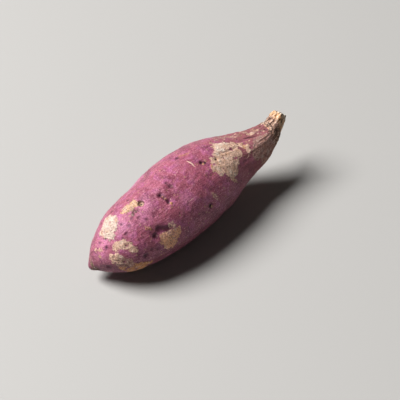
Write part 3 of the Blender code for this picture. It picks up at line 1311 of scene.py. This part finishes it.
@dataclass(frozen=True)
class Relief:
    """Sizes of the skin's small relief, in millimetres where nothing else is said.

    Attributes:
        ripples: Size, seed and height of each layer of the skin's unevenness.
        ripple_sink: How far it is lowered, so that most of it lies inside the solid.
        body_fibre: Height of the fibrous furrows all over the skin.
        neck_fibre: What is added to that height on the neck.
        fold: Height of the scurf's folds.
        fold_sharpness: How narrow they are.
        fold_edge: How far inside a patch its crust begins, and where it is highest.
        crumb: Height of the scurf's crumbs.
        scurf_sink: How far both are lowered.
        soft_edge: How far outside its edge a raised patch or a cut begins.
        eye_flat: Radius of an eye's flat middle where it has no floor, as a share of its hollow.
        ring: Height of the ring round a ringed eye.
        ring_radius: Radius of that ring, as a share of the hollow.
        ring_width: How far the ring reaches to each side.
        pit: Depth of the pit in a ringed eye.
        pit_radius: Radius of that pit, as a share of the hole.
        bark: Depth of the furrows in the stub's bark.
        bark_strands: How much of it the long strands make.
        bark_chips: How much of it the short chips make.
        bark_sink: How much the bark is lowered, as a share of that depth.
        bark_ridge: How far its ridges may stand out, as a share of that depth.
    """

    ripples: tuple[tuple[float, float, float], ...] = (
        (11.0, 0.0, 0.28), (4.5, 7.0, 0.20), (2.4, 3.0, 0.17),
    )
    ripple_sink: float = 0.12
    body_fibre: float = 0.06
    neck_fibre: float = 0.3
    fold: float = 0.12
    fold_sharpness: float = 3.0
    fold_edge: tuple[float, float] = (-0.5, 1.5)
    crumb: float = 0.24
    scurf_sink: float = 0.08
    soft_edge: float = 0.6
    eye_flat: float = 0.2
    ring: float = 0.25
    ring_radius: float = 1.15
    ring_width: float = 0.5
    pit: float = 0.5
    pit_radius: float = 1.6
    bark: float = 0.65
    bark_strands: float = 1.6
    bark_chips: float = 0.9
    bark_sink: float = 0.15
    bark_ridge: float = 0.25


@dataclass
class Tuber:
    """The whole tuber, from root tip to stub.

    Attributes:
        finish: Its skin.
        relief: The sizes of its small relief.
        levels: How many times each face of the solid is split in four.
        weld_mm: Corners of the solid's triangles closer than this are one.
        quad_degrees: Two triangles that bend and lean less than this become one quad.
        far_mm: Beyond this distance a mark has no effect.
        girth_mm: The radius that the pattern round the root is drawn at.
        painted_shade_facing: How far down skin faces where its painted shade starts and where it is
            darkest.
        neck_share: Where the neck begins and where it is fully neck.
        bark_share: Where the neck's bark begins and where nothing but bark is left.
        wood_share: Where bark gives way to bare wood.
        rim_share: Where the wood's broken rim begins and where it is all pale.
        heart_mm: Distance from the mid-line where the broken face turns from dark to pale.
        break_slant: Share of the length that the slanting break is off from its middle.
        break_clock: Clock angle where the stub reaches furthest.
        nub_place: Share and clock of the middle of the root tip's bark.
        nub_mm: Where that bark begins to fade and where it ends, from its middle.
        stroke_tip: Width of a stroke's ends, as a share of its middle.
        blob_merging: How sharply the round parts of a patch meet.
        patch_rivalry: How sharply one patch gives way to the next.
    """

    finish: PotatoSkin = field(default_factory=PotatoSkin)
    relief: Relief = field(default_factory=Relief)
    levels: int = 2
    weld_mm: float = 0.001
    quad_degrees: float = 40.0
    far_mm: float = 8.0
    girth_mm: float = 27.5
    painted_shade_facing: tuple[float, float] = (-0.65, 0.2)
    neck_share: tuple[float, float] = (0.56, 0.84)
    bark_share: tuple[float, float] = (0.848, 0.920)
    wood_share: tuple[float, float] = (0.925, 0.950)
    rim_share: tuple[float, float] = (0.972, 0.986)
    heart_mm: tuple[float, float] = (1.4, 2.6)
    break_slant: float = 0.0087
    break_clock: float = 125.0
    nub_place: tuple[float, float] = (0.004, 165.0)
    nub_mm: tuple[float, float] = (0.6, 2.4)
    stroke_tip: float = 0.35
    blob_merging: float = 2.0
    patch_rivalry: float = 3.0

    def build(self) -> bpy.types.Object:
        """Builds the tuber and puts it in its place.

        Returns:
            The finished tuber.
        """
        coarse = self._merged_copy()
        self.map = SkinMap(coarse)
        piece = self._refined(coarse)
        coarse.free()
        self._measure(piece)
        self._mark(piece)
        self._sculpt(piece)
        piece.data.shade_smooth()
        piece.data.materials.clear()
        piece.data.materials.append(self.finish.build())
        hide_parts(TUBER_NODE)
        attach(piece, ROOT_BODY)
        return piece

    def _merged_copy(self) -> bmesh.types.BMesh:
        """Copies the solid's mesh, welds its triangles and joins them into quads.

        Returns:
            The copy.
        """
        form = bmesh.new()
        form.from_mesh(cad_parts[TUBER_NODE].data)
        bmesh.ops.remove_doubles(form, verts=form.verts, dist=self.weld_mm * MM)
        limit = math.radians(self.quad_degrees)
        bmesh.ops.join_triangles(
            form, faces=form.faces, angle_face_threshold=limit, angle_shape_threshold=limit
        )
        return form

    def _refined(self, coarse: bmesh.types.BMesh) -> bpy.types.Object:
        """Makes the smooth, fine skin from the coarse one.

        Args:
            coarse: The solid's welded mesh.

        Returns:
            An object with the fine mesh and no modifier.
        """
        mesh = bpy.data.meshes.new("tuber_skin")
        coarse.to_mesh(mesh)
        piece = bpy.data.objects.new("tuber_skin", mesh)
        bpy.context.scene.collection.objects.link(piece)
        smooth = piece.modifiers.new("smooth", "SUBSURF")
        smooth.levels = self.levels
        smooth.render_levels = self.levels
        fine = bpy.data.meshes.new_from_object(
            piece.evaluated_get(bpy.context.evaluated_depsgraph_get())
        )
        piece.modifiers.clear()
        piece.data = fine
        bpy.data.meshes.remove(mesh)
        fine.name = "tuber_skin"
        return piece

    def _measure(self, piece: bpy.types.Object) -> None:
        """Reads the fine skin's points, normals, shares and clocks.

        Args:
            piece: The fine skin.
        """
        count = len(piece.data.vertices)
        places = np.empty(count * 3, np.float32)
        piece.data.vertices.foreach_get("co", places)
        normals = np.empty(count * 3, np.float32)
        piece.data.vertex_normals.foreach_get("vector", normals)
        self.places = places.reshape(-1, 3).astype(float)
        self.normals = normals.reshape(-1, 3).astype(float)
        self.shares, self.clocks = self.map.shares_and_clocks(self.places)
        turns = np.radians(self.clocks)
        girth = self.girth_mm * MM
        self.grain = np.stack(
            (self.places[:, 0], girth * np.cos(turns), girth * np.sin(turns)), axis=1
        )

    def _distances_mm(self, share: float, clock: float) -> np.ndarray:
        """Measures how far every point of the skin is from one place.

        Args:
            share: The place's share of the length.
            clock: The place's clock angle.

        Returns:
            Distances in millimetres.
        """
        centre = np.array(self.map.place(share, clock))
        return np.linalg.norm(self.places - centre, axis=1) / MM

    def _stroke_inside_mm(self, stroke: Stroke) -> np.ndarray:
        """Measures how far inside a stroke every point of the skin is.

        Args:
            stroke: The crack, crease or scar.

        Returns:
            Millimetres inside its edge, negative outside.
        """
        corners = [np.array(self.map.place(*point)) for point in stroke.points]
        runs = [np.linalg.norm(b - a) for a, b in zip(corners, corners[1:])]
        whole, done = sum(runs), 0.0
        inside = np.full(len(self.places), -self.far_mm)
        for start, end, run in zip(corners, corners[1:], runs):
            t = np.clip((self.places - start) @ (end - start) / run**2, 0.0, 1.0)
            away = np.linalg.norm(self.places - start - t[:, None] * (end - start), axis=1)
            at = (done + t * run) / whole
            taper = self.stroke_tip + (1.0 - self.stroke_tip) * np.sin(math.pi * at)
            width = stroke.half_width_mm * taper
            inside = np.maximum(inside, width - away / MM)
            done += run
        return inside

    def _largest(self, fields: Iterable[np.ndarray]) -> np.ndarray:
        """Joins several distance fields into one.

        Args:
            fields: Millimetres inside each mark.

        Returns:
            The greatest at each point, held within the far limit.
        """
        joined = np.full(len(self.places), -self.far_mm)
        for inside in fields:
            joined = np.maximum(joined, inside)
        return joined

    def _eye_field(self, part: str) -> np.ndarray:
        """Joins one part of all the eyes.

        Args:
            part: The name of the eyes' radius, such as "hole_mm".

        Returns:
            Millimetres inside the nearest.
        """
        return self._largest(
            getattr(eye, part) - self._distances_mm(eye.share, eye.clock)
            for eye in EYES
            if getattr(eye, part) > 0
        )

    def _mark(self, piece: bpy.types.Object) -> None:
        """Writes where each kind of surface lies as attributes of the mesh.

        Args:
            piece: The fine skin.
        """
        scurf, tint, ragged = self._scurf_marks()
        creases = self._largest(self._stroke_inside_mm(crease) for crease in CREASES)
        from_nub = self._distances_mm(*self.nub_place)
        self.neck = soft_step(self.shares, *self.neck_share)
        self.scurf = scurf
        self.bark = np.maximum(
            soft_step(self.shares, *self.bark_share), 1.0 - soft_step(from_nub, *self.nub_mm)
        )
        marks = {
            "scurf": scurf,
            "ragged": ragged,
            # Partly stain, partly painted shade in the eyes' hollows and along the creases.
            "stain_and_shade": np.maximum(self._eye_field("stain_and_shade_mm"), creases),
            "wall": self._eye_field("wall_mm"),
            "floor": self._eye_field("floor_mm"),
            "hole": self._eye_field("hole_mm"),
            "crack": self._largest(self._stroke_inside_mm(crack) for crack in CRACKS),
            "scar": self._largest(self._stroke_inside_mm(scar) for scar in SCARS),
            # Blushes of thin skin, and a painted highlight on the upper side.
            "blush_and_highlight": self._blush_and_highlight(),
            # Painted shade of the underside, darker the further the skin faces down, away from the
            # neck.
            "painted_underside_shade": soft_step(-self.normals[:, 2], *self.painted_shade_facing) * (1.0 - self.neck),
            "neck": self.neck,
            "bark": self.bark,
            "wood": soft_step(self.shares, *self.wood_share),
            "rim": self._rim(),
        }
        for name, values in marks.items():
            layer = piece.data.attributes.new(name, "FLOAT", "POINT")
            layer.data.foreach_set("value", values.astype(np.float32))
        layer = piece.data.attributes.new("scurf_tint", "FLOAT_COLOR", "POINT")
        layer.data.foreach_set("color", tint.astype(np.float32).ravel())
        layer = piece.data.attributes.new("grain", "FLOAT_VECTOR", "POINT")
        layer.data.foreach_set("vector", self.grain.astype(np.float32).ravel())

    def _blush_and_highlight(self) -> np.ndarray:
        """Finds the pale blushes, and the painted highlight on the upper side.

        Returns:
            How far each point is in one, from 0 to 1.
        """
        return np.max(
            [np.exp(-((self._distances_mm(*at) / radius) ** 2)) for *at, radius in BLUSHES_AND_HIGHLIGHTS], axis=0
        )

    def _rim(self) -> np.ndarray:
        """Finds the pale fibres along the slanting edge of the break.

        Returns:
            How far each point is on them, from 0 to 1.
        """
        turns = np.radians(self.clocks - self.break_clock)
        slanted = self.shares + self.break_slant * (1.0 - np.cos(turns))
        middle = self.map.middles_at(self.shares)
        off_axis = np.linalg.norm(self.places[:, 1:] - middle, axis=1) / MM
        return soft_step(slanted, *self.rim_share) * soft_step(off_axis, *self.heart_mm)

    def _patch_inside_mm(self, patch: ScurfPatch) -> np.ndarray:
        """Measures how far inside a scurf patch every point of the skin is.

        Args:
            patch: The patch.

        Returns:
            Millimetres inside its edge, negative outside.
        """
        total = np.full(len(self.places), 1e-9)
        for *at, radius_mm in patch.blobs:
            # The limits only keep the exponential from running out of range.
            inside = np.clip(radius_mm - self._distances_mm(*at), -20.0, 8.0)
            total += np.exp(inside * self.blob_merging)
        return np.log(total) / self.blob_merging

    def _scurf_marks(self) -> tuple[np.ndarray, np.ndarray, np.ndarray]:
        """Works out where scurf lies and how it looks there.

        Returns:
            Millimetres inside the nearest patch, its tint with the cover as alpha, and how torn its
            edge is.
        """
        count = len(self.places)
        joined = np.full(count, -self.far_mm)
        weights = np.full(count, 1e-12)
        looks = np.zeros((count, 5))
        self.rise = np.zeros(count)
        for patch in PATCHES:
            inside = self._patch_inside_mm(patch)
            joined = np.maximum(joined, inside)
            edge = self.relief.soft_edge
            self.rise += patch.rise_mm * soft_step(inside, -edge, edge)
            # A small speck has to be seen, so it outweighs the large patch that it lies on.
            depth = np.clip(inside, -self.far_mm, 1.0)
            weight = np.exp(depth * self.patch_rivalry) / patch.raggedness**2
            look = np.array([*linear(patch.tone.value)[:3], patch.cover, patch.raggedness])
            looks += weight[:, None] * look
            weights += weight
        looks /= weights[:, None]
        return joined, looks[:, :4], looks[:, 4]

    def _sculpt(self, piece: bpy.types.Object) -> None:
        """Moves the skin's points along their normals to raise its relief.

        Args:
            piece: The fine skin.
        """
        lift = self._ripples() + self._folds() + self.rise - self._eye_depths()
        for stroke in (*CREASES, *CRACKS, *SCARS):
            inside = self._stroke_inside_mm(stroke)
            cut = soft_step(inside, -self.relief.soft_edge, stroke.half_width_mm)
            lift -= stroke.depth_mm * cut
        lift += self._bark_relief()
        moved = self.places + self.normals * lift[:, None] * MM
        low, high = (np.array(corner) for corner in CAD_BOX)
        moved = np.clip(moved, low, high)
        piece.data.vertices.foreach_set("co", moved.astype(np.float32).ravel())
        piece.data.update()

    def _ripples(self) -> np.ndarray:
        """Works out the skin's unevenness, which goes mostly downwards from the solid.

        Returns:
            Its height at each point, in millimetres.
        """
        sizes = self.relief
        fibrous = sizes.body_fibre + sizes.neck_fibre * self.neck
        lift = fibrous * bumps(self.grain, (12.0, 2.2, 2.2), 5.0) - sizes.ripple_sink
        for size, seed, height in sizes.ripples:
            lift += height * bumps(self.places, (size,) * 3, seed)
        return lift

    def _folds(self) -> np.ndarray:
        """Works out the crusty folds and crumbs of the scurf.

        Returns:
            Their height at each point, in millimetres.
        """
        sizes = self.relief
        inside = soft_step(self.scurf, *sizes.fold_edge)
        # A fold runs wherever the noise crosses zero.
        away = np.abs(bumps(self.places, (5.0, 5.0, 5.0), 11.0))
        fold = 1.0 - sizes.fold_sharpness * away
        crumb = bumps(self.places, (1.6, 1.6, 1.6), 17.0)
        crust = sizes.fold * np.clip(fold, 0.0, 1.0) + sizes.crumb * crumb
        return inside * (crust - sizes.scurf_sink)

    def _eye_depths(self) -> np.ndarray:
        """Works out the hollows of the eyes, with the rings and pits of the ringed ones.

        Returns:
            Their depth at each point, in millimetres.
        """
        sizes = self.relief
        depths = np.zeros(len(self.places))
        for eye in EYES:
            away = self._distances_mm(eye.share, eye.clock)
            flat = eye.floor_mm or eye.reach_mm * sizes.eye_flat
            depths += eye.depth_mm * (1.0 - soft_step(away, flat, eye.reach_mm))
            if eye.wall_mm:
                off_ring = (away - eye.reach_mm * sizes.ring_radius) / sizes.ring_width
                depths -= sizes.ring * np.exp(-(off_ring**2))
                pit = 1.0 - soft_step(away, 0.0, eye.hole_mm * sizes.pit_radius)
                depths += sizes.pit * pit
        return depths

    def _bark_relief(self) -> np.ndarray:
        """Works out the furrows of the stub's bark, which go mostly downwards from the solid.

        Returns:
            Their height at each point, in millimetres.
        """
        sizes = self.relief
        strands = sizes.bark_strands * bumps(self.grain, (5.0, 7.0, 7.0), 2.0)
        chips = sizes.bark_chips * bumps(self.grain, (1.8, 3.0, 3.0), 9.0)
        furrows = np.minimum(strands + chips - sizes.bark_sink, sizes.bark_ridge)
        return sizes.bark * self.bark * furrows


@dataclass(frozen=True)
class Lamp:
    """A round lamp that shines at the middle of the floor.

    Attributes:
        name: Its name.
        place: Where it hangs, in metres.
        size: How wide it is, in metres.
        power: Its power, in watts.
    """

    name: str
    place: tuple[float, float, float]
    size: float
    power: float

    def build(self) -> None:
        """Hangs the lamp."""
        light = bpy.data.lights.new(self.name, "AREA")
        light.shape = "DISK"
        light.size = self.size
        light.energy = self.power
        lamp = bpy.data.objects.new(self.name, light)
        lamp.location = self.place
        lamp.rotation_euler = (-Vector(self.place)).to_track_quat("-Z", "Y").to_euler()
        bpy.context.scene.collection.objects.link(lamp)


@dataclass
class Studio:
    """A pale floor, soft light and the camera.

    Attributes:
        azimuth: Camera's direction round the object; 0 looks along +Y.
        elevation: Camera's height angle.
        distance: Camera's distance from what it looks at, in metres.
        lens_mm: The camera's focal length.
        sensor_mm: Width of its sensor.
        aim: The point that it looks at.
        floor_size: Side of the floor, in metres.
        lamps: A broad soft key above and behind the left side, and a weak fill.
        air: Colour of the light that comes from all round.
        wall_top: How steeply a look rises where the wall ends and where the ceiling begins.
        wall_strength: Brightness of the wall round the floor.
        ceiling_strength: Brightness of what is above the wall.
    """

    azimuth: float = -41.5
    elevation: float = 45.0
    distance: float = 0.95
    lens_mm: float = 124.0
    sensor_mm: float = 36.0
    aim: tuple[float, float, float] = (0.0159, 0.0095, 0.0)
    floor_size: float = 3.2
    lamps: tuple[Lamp, ...] = (
        Lamp("key", (-1.26, 1.36, 2.46), 1.8, 200.0),
        Lamp("fill", (-1.1, -0.9, 0.9), 1.2, 0.3),
    )
    air: str = "#f4f2ee"
    wall_top: tuple[float, float] = (0.07, 0.15)
    wall_strength: float = 0.6
    ceiling_strength: float = 0.04

    def build(self) -> None:
        """Builds the floor, the lamps, the world and the camera."""
        self._floor()
        for lamp in self.lamps:
            lamp.build()
        self._world()
        self._camera()

    def _floor(self) -> None:
        """Lays the floor at the height that the tuber lies on."""
        form = bmesh.new()
        bmesh.ops.create_grid(form, x_segments=1, y_segments=1, size=self.floor_size / 2)
        mesh = bpy.data.meshes.new("floor")
        form.to_mesh(mesh)
        form.free()
        mesh.materials.append(PaleFloor().build())
        floor = bpy.data.objects.new("floor", mesh)
        bpy.context.scene.collection.objects.link(floor)

    def _world(self) -> None:
        """Stands a pale wall all round, lower than it is wide, under a dim ceiling."""
        world = bpy.data.worlds.new("studio")
        world.use_nodes = True
        tree = world.node_tree
        background = tree.nodes["Background"]
        background.inputs["Color"].default_value = linear(self.air)
        way = add_node(tree, "ShaderNodeTexCoord")
        height = add_node(tree, "ShaderNodeSeparateXYZ", {"Vector": way.outputs["Generated"]})
        wall = add_node(
            tree,
            "ShaderNodeMapRange",
            {
                "Value": height.outputs["Z"],
                "From Min": self.wall_top[0],
                "From Max": self.wall_top[1],
                "To Min": self.wall_strength,
                "To Max": self.ceiling_strength,
            },
        )
        tree.links.new(wall.outputs["Result"], background.inputs["Strength"])
        bpy.context.scene.world = world
        bpy.context.scene.view_settings.view_transform = "Standard"

    def _camera(self) -> None:
        """Points the camera at the tuber from the photograph's side."""
        turn, rise = math.radians(self.azimuth), math.radians(self.elevation)
        back = Vector(
            (math.sin(turn) * math.cos(rise), -math.cos(turn) * math.cos(rise), math.sin(rise))
        )
        lens = bpy.data.cameras.new("camera")
        lens.lens = self.lens_mm
        lens.sensor_width = self.sensor_mm
        camera = bpy.data.objects.new("camera", lens)
        camera.location = Vector(self.aim) + back * self.distance
        camera.rotation_euler = (-back).to_track_quat("-Z", "Y").to_euler()
        bpy.context.scene.collection.objects.link(camera)
        bpy.context.scene.camera = camera


def main() -> None:
    """Builds the tuber and the studio."""
    logging.basicConfig(level=logging.INFO, format="%(message)s")
    piece = Tuber().build()
    LOG.info("%s: %d faces", piece.name, len(piece.data.polygons))
    Studio().build()
    LOG.info("studio: floor, lights and camera")


if __name__ == "__main__":
    main()
